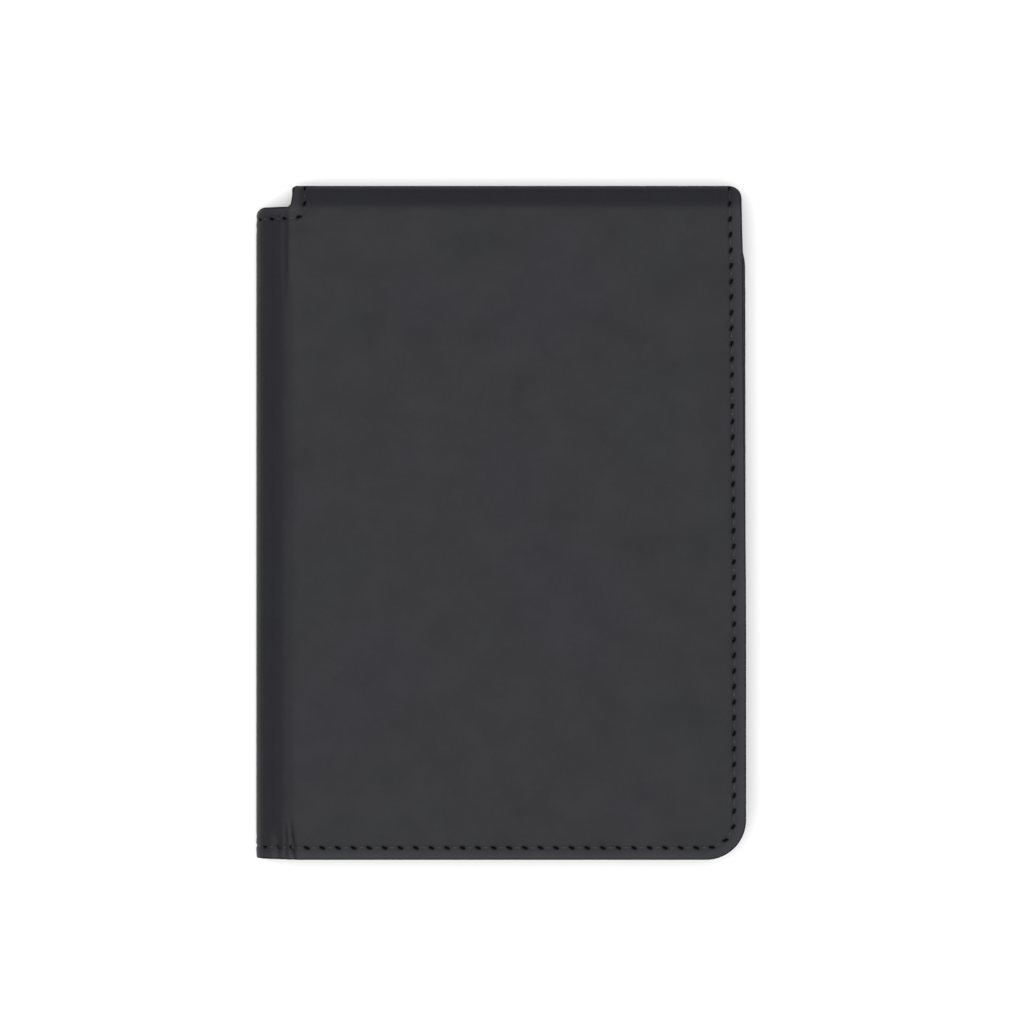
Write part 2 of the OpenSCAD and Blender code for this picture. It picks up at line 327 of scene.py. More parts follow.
def shell_front_outline():
    """Outer leather from the middle of the strip to the front cover's free edge."""
    points = line((S_STRIP, BOTTOM), (front_s(RIGHT - CORNER_R), BOTTOM), EDGE_STEP)
    points += [(front_s(x), y) for x, y in cover_corner_path(front_edge)]
    points += line((front_s(EASED - TOP_R), TOP), (front_s(NOTCH_HEAD_X + NOTCH_R), TOP), EDGE_STEP)
    points += [(front_s(x), y) for x, y in notch_path()]
    points += [(S_STRIP, float(spine_top(S_STRIP)))]
    return dense(points, EDGE_STEP)


def shell_back_outline():
    """Outer leather from the back cover's free edge to the middle of the spine."""
    cover = cover_corner_path(back_edge)
    cover += line((EASED - TOP_R, TOP), (NOTCH_HEAD_X + NOTCH_R, TOP), EDGE_STEP)
    cover += notch_path()
    points = [(back_s(x), y) for x, y in cover]
    notch_s = points[-1][0]
    steps = np.linspace(notch_s, S_SPINE, math.ceil((S_SPINE - notch_s) / EDGE_STEP) + 1)[1:]
    points += [(float(s), float(spine_top(s))) for s in steps]
    points += line((S_SPINE, BOTTOM), (back_s(RIGHT - CORNER_R), BOTTOM), EDGE_STEP)
    return dense(points, EDGE_STEP)[::-1]


def middle_outline(s0, s1, top):
    """A band across the spine from s0 to s1, up to top(s)."""
    steps = np.linspace(s1, s0, math.ceil((s1 - s0) / EDGE_STEP) + 1)
    points = [(s0, BOTTOM), (s1, BOTTOM)] + [(float(s), float(top(s))) for s in steps]
    return dense(points, EDGE_STEP)


# ---- building a sheet

# Rounding of a cut edge: how far each ring is in from the outline, and its share of the thickness
CUT_EDGE = [(0.34, 0.0), (0.14, 0.025), (0.035, 0.11), (0.0, 0.28),
            (0.0, 0.72), (0.035, 0.89), (0.14, 0.975), (0.34, 1.0)]
ROLL_RUN = (1.6, 0.4)  # how far below the top edge its wider rounding starts and is full
THIN_EDGE = [(0.12, 0.0), (0.03, 0.12), (0.0, 0.5), (0.03, 0.88), (0.12, 1.0)]


def inset_directions(loop, weight):
    """For each point of a loop, which way and how far to move it for an inset of 1 on both its edges.

    weight holds each edge's own share of the inset: 0 keeps an edge where it is.
    """
    ahead = np.roll(loop, -1, axis=0) - loop
    ahead /= np.linalg.norm(ahead, axis=1)[:, None]
    normal = np.stack([-ahead[:, 1], ahead[:, 0]], axis=1)
    before, w_before = np.roll(normal, 1, axis=0), np.roll(weight, 1)
    cross = before[:, 0] * normal[:, 1] - before[:, 1] * normal[:, 0]
    mean = before + normal
    mean /= np.maximum(np.linalg.norm(mean, axis=1), 1e-9)[:, None]
    moved = mean * ((w_before + weight) / 2)[:, None]
    sharp = np.abs(cross) > 0.25
    safe = np.where(sharp, cross, 1.0)
    mitre = np.stack([
        (w_before * normal[:, 1] - weight * before[:, 1]) / safe,
        (weight * before[:, 0] - w_before * normal[:, 0]) / safe,
    ], axis=1)
    return np.where(sharp[:, None], mitre, moved)


def triangulate(loop, points):
    """Triangles over the inside of a loop and the free points in it, as indexes into both together."""
    everything = [Vector(p) for p in loop] + [Vector(p) for p in points]
    ring = list(range(len(loop)))
    verts, _, faces, origin, _, _ = delaunay_2d_cdt(everything, [], [ring], 1, 1e-7, True)
    if len(verts) != len(everything):
        raise ValueError("a pattern outline crosses itself")
    index = [o[0] for o in origin]
    faces = [[index[i] for i in f] for f in faces]
    owner = {(a, b): k for k, f in enumerate(faces) for a, b in zip(f, f[1:] + f[:1])}
    rim = set(zip(ring, ring[1:] + ring[:1]))
    outside = {owner[b, a] for a, b in rim if (b, a) in owner}
    waiting = list(outside)
    while waiting:
        f = faces[waiting.pop()]
        for a, b in zip(f, f[1:] + f[:1]):
            other = owner.get((b, a))
            if other is not None and other not in outside and (a, b) not in rim and (b, a) not in rim:
                outside.add(other)
                waiting.append(other)
    return [f for k, f in enumerate(faces) if k not in outside]


# How far grid points and extra points stay from the rim, and grid points from extra points
GRID_CLEAR, EXTRA_CLEAR, APART = 0.35, 0.12, 0.3


def spread(loop, grids):
    """Free points inside a loop: each grid in turn keeps clear of those before it."""
    kept, zones = [], []
    for (s0, s1, y0, y1), ds, dy in grids:
        s = np.arange(s0 + ds / 2, s1, ds)
        y = np.arange(y0 + dy / 2, y1, dy)
        points = np.stack([v.ravel() for v in np.meshgrid(s, y)], axis=1)
        for (a0, a1, b0, b1) in zones:
            hit = (points[:, 0] > a0) & (points[:, 0] < a1) & (points[:, 1] > b0) & (points[:, 1] < b1)
            points = points[~hit]
        zones.append((s0, s1, y0, y1))
        kept.append(points)
    points = np.concatenate(kept)
    points = points[inside(points, loop)]
    return points[nearest(points, loop) > GRID_CLEAR]


def mesh_object(name, verts, faces, materials, face_material, sharp_angle=40):
    """A smooth-shaded mesh from points in millimetres."""
    mesh = bpy.data.meshes.new(name)
    mesh.from_pydata((np.asarray(verts) * MM).tolist(), [], faces)
    for material in materials:
        mesh.materials.append(material)
    mesh.polygons.foreach_set("material_index", face_material)
    mesh.polygons.foreach_set("use_smooth", [True] * len(faces))
    mesh.update()
    mesh.set_sharp_from_angle(angle=math.radians(sharp_angle))
    obj = bpy.data.objects.new(name, mesh)
    bpy.context.scene.collection.objects.link(obj)
    return obj


def add_mask(obj, name, values):
    """A value for each point of a mesh, which its material reads."""
    attribute = obj.data.attributes.new(name, "FLOAT", "POINT")
    attribute.data.foreach_set("value", np.asarray(values, np.float32))


def add_pattern(obj, flat):
    """Where each point of a mesh lies on the pattern, which its material takes its grain from."""
    attribute = obj.data.attributes.new("pattern", "FLOAT_VECTOR", "POINT")
    layered = np.column_stack([flat, np.zeros(len(flat))]).astype(np.float32)
    attribute.data.foreach_set("vector", layered.ravel())


def build_sheet(name, outline, outer, inner, materials, grids, edge=CUT_EDGE, cuts=(), roll=0.0,
                extra=None):
    """A closed sheet over an outline of the pattern.

    outer and inner give the depth of its two faces for arrays s and y. cuts are the s values
    where the sheet is divided: its edge stays square there. roll is added to the width of the
    rounding along the top edge, where the leather is turned over. extra are more free points
    for the outer face. materials are those of the face and of the cut edge. It also returns where
    each point lies on the pattern, and which points belong to the outer face.
    """
    loop = np.array(outline)
    middle = (loop + np.roll(loop, -1, axis=0)) / 2
    weight = 1 + roll * smooth(middle[:, 1], TOP - ROLL_RUN[0], TOP - ROLL_RUN[1])
    for cut in cuts:
        on_cut = (np.abs(loop[:, 0] - cut) < 1e-4) & (np.abs(np.roll(loop[:, 0], -1) - cut) < 1e-4)
        weight[on_cut] = 0
    inset = inset_directions(loop, weight)
    rings = [loop + inset * width for width, _ in edge]
    verts = []
    for ring, (_, share) in zip(rings, edge):
        ring_s, ring_y = ring.T
        if share in (0, 1):
            depth = inner(ring_s, ring_y) if share else outer(ring_s, ring_y)
        else:
            depth = outer(*loop.T) * (1 - share) + inner(*loop.T) * share
        verts.append(place(ring_s, ring_y, depth))
    n, faces = len(loop), []
    for k in range(len(edge) - 1):
        for i in range(n):
            j = (i + 1) % n
            faces.append((k * n + i, (k + 1) * n + i, (k + 1) * n + j, k * n + j))
    marks = [1] * len(faces)
    pattern = list(rings)
    on_outer = [np.full(n, float(share < 0.5)) for _, share in edge]
    for side, (ring, face_depth) in enumerate(((rings[0], outer), (rings[-1], inner))):
        free = spread(ring, grids)
        if side == 0 and extra is not None:
            keep = extra[inside(extra, ring)]
            keep = keep[nearest(keep, ring) > EXTRA_CLEAR]
            free = free[nearest(free, keep) > APART] if len(keep) else free
            free = np.concatenate([keep, free])
        start = sum(len(v) for v in verts)
        base = 0 if side == 0 else (len(edge) - 1) * n
        verts.append(place(free[:, 0], free[:, 1], face_depth(free[:, 0], free[:, 1])))
        pattern.append(free)
        on_outer.append(np.full(len(free), 1.0 - side))
        for f in triangulate(ring, free):
            f = [base + i if i < n else start + i - n for i in f]
            faces.append(tuple(f) if side == 0 else tuple(f[::-1]))
            marks.append(0)
    obj = mesh_object(name, np.concatenate(verts), faces, materials, marks)
    flat = np.concatenate(pattern)
    add_mask(obj, "margin", np.exp(-nearest(flat, loop) / WEAR_REACH))
    add_pattern(obj, flat)
    return obj, flat, np.concatenate(on_outer)


# ---- seams

SEAM_IN = 2.5  # from the edge to the seam
SEAM_PITCH = 3.228
SEAM_HEAD = 0.65  # how near the seams come to the covers' top edge
HOLE_LONG, HOLE_WIDE, HOLE_D = 0.62, 0.33, 0.6  # half length, half width and depth of a hole
HOLE_SLANT = math.radians(18)
GROOVE_HALF, GROOVE_D = 0.42, 0.16
THREAD_R = 0.14
NOTCH_SEAM_X = FOLD_C.x + 2.7  # vertical run beside the notch
NOTCH_SEAM_R = 2.3
SPINE_SEAM_Y = SPINE_TOP - SEAM_IN


def follow(points, step):
    """Points at equal steps along a polyline, with the direction of travel at each."""
    points = np.array(points, float)
    lengths = np.linalg.norm(np.diff(points, axis=0), axis=1)
    run = np.concatenate([[0], np.cumsum(lengths)])
    at = np.linspace(0, run[-1], max(2, round(run[-1] / step) + 1))
    found = np.column_stack([np.interp(at, run, points[:, k]) for k in (0, 1)])
    travel = np.gradient(found, axis=0)
    return found, travel / np.linalg.norm(travel, axis=1)[:, None]


def make_seam(points, out):
    """A row of holes along a route. out is 1 if the edge is on the left of the travel, else -1."""
    rows, row_travel = follow(points, 0.4)
    holes, travel = follow(points, SEAM_PITCH)
    left = np.column_stack([-travel[:, 1], travel[:, 0]])
    axis = travel * math.cos(HOLE_SLANT) - left * math.sin(HOLE_SLANT)
    row_left = np.column_stack([-row_travel[:, 1], row_travel[:, 0]])
    return {"rows": rows, "outward": row_left * out, "holes": holes, "axis": axis}


def side_route(edge, to_s):
    """Seam down a cover's free edge and round its corner."""
    ys = np.arange(TOP - SEAM_HEAD, BOTTOM + CORNER_R, -1.0)
    points = [(float(edge(y)) - SEAM_IN, float(y)) for y in ys]
    points += arc((float(edge(BOTTOM)) - CORNER_R, BOTTOM + CORNER_R), CORNER_R - SEAM_IN, 0, -90, 0.4)
    return [(to_s(x), y) for x, y in points]


def notch_route(to_s):
    """Seam down beside the notch and round to the spine's top seam."""
    points = [(NOTCH_SEAM_X, TOP - SEAM_HEAD)]
    points += arc((NOTCH_SEAM_X - NOTCH_SEAM_R, SPINE_SEAM_Y + NOTCH_SEAM_R), NOTCH_SEAM_R, 0, -90, 0.3)
    points += [(NOTCH_SEAM_X - NOTCH_SEAM_R, SPINE_SEAM_Y)]
    return [(to_s(x), y) for x, y in points]


EDGE_SEAM = make_seam(side_route(front_edge, front_s) + side_route(back_edge, back_s)[::-1], 1)
NOTCH_SEAM = make_seam(notch_route(front_s) + notch_route(back_s)[::-1], -1)
SHELL_SEAMS = [EDGE_SEAM, NOTCH_SEAM]


def seam_points(seams):
    """Free points that give the holes and grooves of some seams their shape."""
    found = []
    for seam in seams:
        across = np.column_stack([-seam["axis"][:, 1], seam["axis"][:, 0]])
        found.append(seam["holes"])
        for size, count in ((0.4, 8), (0.75, 12), (1.05, 14), (1.4, 14), (1.95, 14)):
            for i in range(count):
                a = 2 * math.pi * (i + size) / count
                along = seam["axis"] * HOLE_LONG * size * math.cos(a)
                found.append(seam["holes"] + along + across * HOLE_WIDE * size * math.sin(a))
        rows = [seam["rows"] + seam["outward"] * off for off in (-0.7, -0.42, -0.18, 0.18, 0.42, 0.7)]
        rows = np.concatenate(rows)
        rows = rows[nearest(rows, seam["holes"]) > HOLE_LONG * 2.1]
        found.append(rows)
    return np.concatenate(found)


def hole_reach(points, seams):
    """How far each point is from the nearest hole's middle, where 1 is the hole's rim."""
    best = np.full(len(points), 99.0)
    for seam in seams:
        _, index = near(points, seam["holes"])
        off = points - seam["holes"][index]
        axis = seam["axis"][index]
        along = (off * axis).sum(1) / HOLE_LONG
        across = (off[:, 1] * axis[:, 0] - off[:, 0] * axis[:, 1]) / HOLE_WIDE
        best = np.minimum(best, np.hypot(along, across))
    return best


def outward_of_seam(points, seams):
    """Signed distance from the nearest seam, positive towards the edge, and the plain distance."""
    signed, plain = np.zeros(len(points)), np.full(len(points), 99.0)
    for seam in seams:
        distance, index = near(points, seam["rows"])
        side = ((points - seam["rows"][index]) * seam["outward"][index]).sum(1)
        closer = distance < plain
        signed[closer] = (np.sign(side) * distance)[closer]
        plain[closer] = distance[closer]
    return signed, plain


def groove(points, seams):
    """Depth of the grooves that seams press into a face."""
    return GROOVE_D * sum(bell(near(points, seam["rows"])[0], GROOVE_HALF) for seam in seams)


def seam_relief(points, seams):
    """Depth that seams add to a face: a groove, the holes in it and the puckers between them."""
    reach = hole_reach(points, seams)
    _, plain = outward_of_seam(points, seams)
    hole = HOLE_D * (1 - smooth(reach, 0.4, 1.15))
    swell = 0.035 * bell(reach - 1.7, 0.5)
    return GROOVE_D * bell(plain, GROOVE_HALF) + hole - swell


THREAD_RINGS, THREAD_SIDES = 15, 8
THREAD_IN = HOLE_LONG * 0.35  # where a thread's ends lie, from the middle of their holes
THREAD_SUNK = 0.06  # how far the middle of a stitch lies below the leather's groove
THREAD_FLAT = 1.1  # how much wider than high a thread is
PLY_HEIGHT, PLY_TURNS = 0.13, 1.6  # of the two twisted plies


def thread_mesh(name, seam, base, material, s_range=(-math.inf, math.inf), inward=False):
    """The threads of a seam as one mesh: one for each pair of holes whose middle lies in s_range.

    base gives the depth of the face that they lie on. inward is for threads on a face that looks
    into the wallet.
    """
    verts, faces, flat, tucked = [], [], [], []
    sign = -1 if inward else 1
    u = np.linspace(0, 1, THREAD_RINGS)
    arch = np.sin(math.pi * u) ** 0.6
    for a, b, axis_a, axis_b in zip(seam["holes"], seam["holes"][1:], seam["axis"], seam["axis"][1:]):
        if not s_range[0] <= (a[0] + b[0]) / 2 < s_range[1]:
            continue
        start, end = a + axis_a * THREAD_IN, b - axis_b * THREAD_IN
        line_at = start + (end - start) * u[:, None]
        travel = (end - start) / np.linalg.norm(end - start)
        side = np.array([-travel[1], travel[0]])
        centre = HOLE_D * 0.95 * (1 - arch) + THREAD_SUNK * arch
        radius = THREAD_R * (0.75 + 0.25 * arch)
        start_at = len(verts) * THREAD_SIDES * THREAD_RINGS
        ring_s, ring_y, ring_d = [], [], []
        for k in range(THREAD_SIDES):
            turn = 2 * math.pi * k / THREAD_SIDES
            ply = 1 + PLY_HEIGHT * np.cos(2 * (turn - 2 * math.pi * PLY_TURNS * u))
            point = line_at + side[None] * (radius * ply * math.cos(turn) * THREAD_FLAT)[:, None]
            ring_s.append(point[:, 0])
            ring_y.append(point[:, 1])
            ring_d.append(base(*line_at.T) + sign * (centre - radius * ply * math.sin(turn)))
        s, y, d = np.array(ring_s).T.ravel(), np.array(ring_y).T.ravel(), np.array(ring_d).T.ravel()
        verts.append(place(s, y, d))
        flat.append(np.column_stack([s, y]))
        tucked.append(np.repeat(1 - arch, THREAD_SIDES))
        for i in range(THREAD_RINGS - 1):
            for k in range(THREAD_SIDES):
                n = (k + 1) % THREAD_SIDES
                quad = [i * THREAD_SIDES + k, i * THREAD_SIDES + n,
                        (i + 1) * THREAD_SIDES + n, (i + 1) * THREAD_SIDES + k]
                faces.append([start_at + q for q in (quad if not inward else quad[::-1])])
        last = (THREAD_RINGS - 1) * THREAD_SIDES
        caps = [[start_at + k for k in range(THREAD_SIDES)][::-1],
                [start_at + last + k for k in range(THREAD_SIDES)]]
        faces += [c if not inward else c[::-1] for c in caps]
    obj = mesh_object(name, np.concatenate(verts), faces, [material], [0] * len(faces), 60)
    add_pattern(obj, np.concatenate(flat))
    # painted shade: the thread's colour darkens and loses its specular where it dives into a hole
    add_mask(obj, "hole", smooth(np.concatenate(tucked), 0.03, 0.28))
    return obj


# ---- depths of the layers

BOARD_IN = 4.6  # from a sewn edge to the board
SLEEVE_GAP = PANEL_LINING_D - LINING_D - LINING_T
FOLD_PANEL_D = LEATHER_T + LINING_T + SLEEVE_GAP  # depth of the inner leather over the spine
BAND_SLOPE = HEM_DIP / (TOP - SPINE_TOP)
ROLL_REACH = 1.5  # how far down the rolled top edge curves
SPINE_BULGE = 0.3  # how far the soft spine stands out
S_MID = (S_SPINE + S_STRIP) / 2
FRONT_FLAT = PATH["front"]["at"][0]


SKIN = 0.01  # gap between layers that touch


def x_of(s):
    """Place on either cover, in x. Over the spine it runs on past the covers' edges."""
    s = np.asarray(s, float)
    on_front = PATH["front"]["s"]
    return np.where(s < S_MID, RIGHT - s, FRONT_FLAT + s - on_front)


def cover_mask(s, back_run, front_run):
    """1 on the covers and 0 over the spine, changing over a run of x on either cover."""
    s = np.asarray(s, float)
    x = x_of(s)
    return np.where(s < S_MID, smooth(x, *back_run), smooth(x, *front_run))


# Stretches of x from the spine onto the back and the front cover, over which a layer changes
WAVY_RUNS = ((-46, -40), (-40, -34))  # where the soft waves begin
HEM_RUNS = ((-43.4, -42.4), (-43.0, -42.0))  # inner end of the turned-in top edge
NOTCH_RUNS = ((-44.5, -42.0), (-43.5, -41.0))  # where the spine's top edge ends
PANEL_RUNS = ((-47.9, -44.5), (-43.6, -40.8))  # where a panel comes down to the spine's leather
LINING_RUNS = ((-48.0, -46.5), (-44.0, -42.6))  # where the lining comes down beside the board


def undulation(s, y):
    """Gentle waves of soft leather, from 0 to 1."""
    a = np.sin(s * 0.083 + 0.9) * np.sin(y * 0.061 + 0.4)
    b = np.sin(s * 0.17 + y * 0.11 + 2.1) * np.sin(y * 0.19 - s * 0.05 + 1.0)
    return 0.5 + 0.33 * a + 0.17 * b


CREASE_X = -44.0  # middle of the soft line along the crease
CREASE_TOP_RUN = (42, 60)  # where it gets stronger towards the top


def crease_relief(s, y):
    """The soft line where the front cover bends, stronger near its two ends."""
    past, y = x_of(s) - CREASE_X, np.asarray(y, float)
    high = smooth(y, *CREASE_TOP_RUN)
    low = 1 - smooth(y, BOTTOM + 2, BOTTOM + 10)
    lowest = 1 - smooth(y, BOTTOM + 2, BOTTOM + 8)
    sag = 0.13 * lowest * soft_ramp(2.2 - past, 0.8) * smooth(past, -4.5, -2.5)
    middle = 0.04 * bell(past, 0.9)
    top_line = high * (0.14 * bell(past + 0.9, 0.4) - 0.24 * bell(past - 0.1, 0.95))
    parted = np.clip((BOTTOM + 9 - y) / 7, 0, 1)  # the line splits in two towards the bottom edge
    left_line = 0.38 * low * bell(past + 0.6 + 0.5 * parted, 0.35)
    right_line = 0.55 * low * bell(past - 0.2 - 0.6 * parted, 0.38)
    on_front = np.asarray(s, float) > S_MID
    return np.where(on_front, middle + sag + top_line + left_line + right_line, 0.0)


def top_band(y):
    """Slope above the spine's top, ending in the rolled edge."""
    rolled = 0.42 * np.clip((y - TOP + ROLL_REACH) / ROLL_REACH, 0, 1) ** 2
    return BAND_SLOPE * soft_ramp(y - SPINE_TOP, 0.85) + rolled


def shell_base(s, y):
    """Depth of the outer face without its seams."""
    s, y = np.asarray(s, float), np.asarray(y, float)
    band = top_band(y)
    level = 0.05 * undulation(s, y) * cover_mask(s, *WAVY_RUNS)
    return band + level + crease_relief(s, y) - SPINE_BULGE * bell(s - S_SPINE, 2.2)


def shell_outer(s, y):
    points = pairs(s, y)
    signed, _ = outward_of_seam(points, SHELL_SEAMS)
    board_line = 0.07 * bell(signed + BOARD_IN - SEAM_IN, 0.45)
    rounded = 0.05 * soft_ramp(signed - 0.9, 0.4)
    return shell_base(s, y) + seam_relief(points, SHELL_SEAMS) + board_line + rounded


def shell_inner(s, y):
    s, y = np.asarray(s, float), np.asarray(y, float)
    band = top_band(y) - SPINE_BULGE * bell(s - S_SPINE, 2.2)
    hem = smooth(y, HEM_LOW - 0.3, HEM_LOW + 0.3) * cover_mask(s, *HEM_RUNS)
    return LEATHER_T + band + (LINING_D + LINING_T - LEATHER_T) * hem


FAR = 20.0  # further than any margin is wide


def from_sewn_edge(s, y):
    """Distance from the free edge and the bottom edge, and over the spine from its top edge too."""
    s, y = np.asarray(s, float), np.asarray(y, float)
    x = x_of(s)
    edge = np.where(s < S_MID, RIGHT + BACK_PROUD, front_edge(y))
    dx, dy = edge - x, y - BOTTOM
    in_corner = (dx < CORNER_R) & (dy < CORNER_R)
    round_d = CORNER_R - np.hypot(np.maximum(CORNER_R - dx, 0), np.maximum(CORNER_R - dy, 0))
    distance = np.where(in_corner, round_d, np.minimum(dx, dy))
    above = spine_top(s) - y + FAR * cover_mask(s, *NOTCH_RUNS)
    return np.minimum(distance, above)


def sewn(s, y):
    """1 in the sewn margins and 0 inside them."""
    return 1 - smooth(from_sewn_edge(s, y), SEAM_IN + 0.6, BOARD_IN - 0.1)


def panel_level(s):
    """Depth of an inner panel inside its margins."""
    return FOLD_PANEL_D + (PANEL_D - FOLD_PANEL_D) * cover_mask(s, *PANEL_RUNS)


def panel_outer(s, y):
    closed = sewn(s, y)
    margin = shell_inner(s, y) + LINING_T * (1 - cover_mask(s, *LINING_RUNS))
    return panel_level(s) * (1 - closed) + margin * closed + 0.02


def panel_inner(s, y):
    return panel_level(s) + PANEL_T - 0.3 * sewn(s, y)


def lining_outer(s, y):
    on_cover = cover_mask(s, *LINING_RUNS)
    return LEATHER_T + SKIN + (LINING_D - LEATHER_T) * on_cover


def lining_inner(s, y):
    return lining_outer(s, y) + LINING_T - SKIN


# ---- materials

def add_node(tree, kind, inputs=None, **settings):
    """A shader node. An input is a value, or an output of another node."""
    made = tree.nodes.new(kind)
    for key, value in settings.items():
        setattr(made, key, value)
    for key, value in (inputs or {}).items():
        if isinstance(value, bpy.types.NodeSocket):
            tree.links.new(value, made.inputs[key])
        else:
            made.inputs[key].default_value = value
    return made


def new_material(name, roughness, specular):
    material = bpy.data.materials.new(name)
    material.use_nodes = True
    tree = material.node_tree
    shader = tree.nodes["Principled BSDF"]
    shader.inputs["Roughness"].default_value = roughness
    shader.inputs["Specular IOR Level"].default_value = specular
    return material, tree, shader


def attribute(tree, name):
    return add_node(tree, "ShaderNodeAttribute", attribute_name=name)


def noise(tree, at, per_mm, detail=3.0, rough=0.5):
    return add_node(tree, "ShaderNodeTexNoise", {
        "Vector": at, "Scale": per_mm, "Detail": detail, "Roughness": rough}).outputs["Fac"]


def ramp(tree, value, low, high, to_low=0.0, to_high=1.0):
    return add_node(tree, "ShaderNodeMapRange", {
        "Value": value, "From Min": low, "From Max": high, "To Min": to_low, "To Max": to_high,
    }).outputs["Result"]


def mixed(tree, factor, a, b):
    """Two colours mixed."""
    made = tree.nodes.new("ShaderNodeMix")
    made.data_type = "RGBA"
    for socket, value in ((made.inputs[0], factor), (made.inputs[6], a), (made.inputs[7], b)):
        if isinstance(value, bpy.types.NodeSocket):
            tree.links.new(value, socket)
        else:
            socket.default_value = value if socket == made.inputs[0] else (*value, 1.0)
    return made.outputs[2]


def calculated(tree, operation, a, b):
    return add_node(tree, "ShaderNodeMath", {0: a, 1: b}, operation=operation).outputs[0]


def bumped(tree, shader, height, distance_mm, strength=1.0):
    bump = add_node(tree, "ShaderNodeBump", {
        "Height": height, "Distance": distance_mm * MM, "Strength": strength})
    tree.links.new(bump.outputs["Normal"], shader.inputs["Normal"])


def leather(name, warm, cool, painted, roughness, specular, grain_mm):
    """Smooth dyed leather: cloudy colour, fine pebbled grain, dark painted edges, painted shade in the stitch
    holes and a painted highlight on the margins outside the seams.
    """
    material, tree, shader = new_material(name, roughness, specular)
    shader.inputs["Sheen Weight"].default_value = 0.10
    shader.inputs["Sheen Roughness"].default_value = 0.38
    at = attribute(tree, "pattern").outputs["Vector"]
    clouds = ramp(tree, noise(tree, at, 0.028, 4, 0.55), 0.38, 0.62)
    colour = mixed(tree, clouds, warm, cool)
    fine = ramp(tree, noise(tree, at, 1.3, 5, 0.6), 0.25, 0.75, 0.93, 1.07)
    scaled = add_node(tree, "ShaderNodeVectorMath", {0: colour}, operation="SCALE")
    tree.links.new(fine, scaled.inputs["Scale"])
    paint = calculated(tree, "MULTIPLY", attribute(tree, "margin").outputs["Fac"],
                       ramp(tree, noise(tree, at, 0.35, 4, 0.6), 0.3, 0.7, 0.3, 0.6))
    colour = mixed(tree, paint, scaled.outputs[0], painted)
    # painted highlight: the colour is lightened on the margin outside a seam
    margin_highlight = calculated(tree, "MULTIPLY", attribute(tree, "margin_highlight").outputs["Fac"], 0.9)
    lighter = add_node(tree, "ShaderNodeVectorMath", {0: colour}, operation="SCALE")
    tree.links.new(calculated(tree, "ADD", margin_highlight, 1.0), lighter.inputs["Scale"])
    colour = lighter.outputs[0]
    # painted shade: in and round the stitch holes the colour turns near black and the specular fades out
    hole = attribute(tree, "hole").outputs["Fac"]
    colour = mixed(tree, calculated(tree, "MULTIPLY", hole, 0.95), colour, (0.001, 0.001, 0.001))
    tree.links.new(colour, shader.inputs["Base Color"])
    tree.links.new(ramp(tree, hole, 0, 1, specular, 0), shader.inputs["Specular IOR Level"])
    cells = add_node(tree, "ShaderNodeTexVoronoi", {
        "Vector": at, "Scale": 1 / grain_mm, "Smoothness": 0.6}, feature="SMOOTH_F1")
    pores = noise(tree, at, 2.2 / grain_mm, 2, 0.5)
    grain = calculated(tree, "ADD", cells.outputs["Distance"], calculated(tree, "MULTIPLY", pores, 0.5))
    waves = calculated(tree, "MULTIPLY", noise(tree, at, 0.4, 3, 0.5), 1.2)
    bumped(tree, shader, calculated(tree, "ADD", grain, waves), 0.018)
    satin = ramp(tree, noise(tree, at, 0.11, 3, 0.6), 0.3, 0.7, roughness - 0.04, roughness + 0.05)
    tree.links.new(satin, shader.inputs["Roughness"])
    return material


def edge_paint(name, colour, scuffed):
    """The painted cut edge of leather, a little uneven and scuffed."""
    material, tree, shader = new_material(name, 0.5, 0.2)
    at = attribute(tree, "pattern").outputs["Vector"]
    scuffs = ramp(tree, noise(tree, at, 0.9, 5, 0.65), 0.52, 0.75)
    tree.links.new(mixed(tree, scuffs, colour, scuffed), shader.inputs["Base Color"])
    bumped(tree, shader, noise(tree, at, 2.5, 3, 0.5), 0.05)
    return material


def weave(name, dark, light, threads_per_mm):
    """Plain-woven lining cloth."""
    material, tree, shader = new_material(name, 0.75, 0.2)
    shader.inputs["Sheen Weight"].default_value = 0.25
    at = attribute(tree, "pattern").outputs["Vector"]
    split = add_node(tree, "ShaderNodeSeparateXYZ", {"Vector": at})
    turn = math.pi * threads_per_mm
    across = calculated(tree, "SINE", calculated(tree, "MULTIPLY", split.outputs["X"], turn), 0.0)
    along = calculated(tree, "SINE", calculated(tree, "MULTIPLY", split.outputs["Y"], turn), 0.0)
    crossing = calculated(tree, "MULTIPLY", across, along)
    slub = ramp(tree, noise(tree, at, 0.8, 3, 0.6), 0.3, 0.7, -0.3, 0.3)
    height = ramp(tree, calculated(tree, "ADD", crossing, slub), -1.2, 1.2)
    tree.links.new(mixed(tree, height, dark, light), shader.inputs["Base Color"])
    bumped(tree, shader, height, 0.05)
    return material


def cardboard(name):
    """Grey-brown board with loose fibres."""
    material, tree, shader = new_material(name, 0.85, 0.2)
    at = attribute(tree, "pattern").outputs["Vector"]
    fibres = noise(tree, at, 1.6, 6, 0.7)
    tree.links.new(mixed(tree, ramp(tree, fibres, 0.35, 0.65), (0.17, 0.12, 0.075), (0.26, 0.19, 0.12)),
                   shader.inputs["Base Color"])
    bumped(tree, shader, fibres, 0.04)
    return material


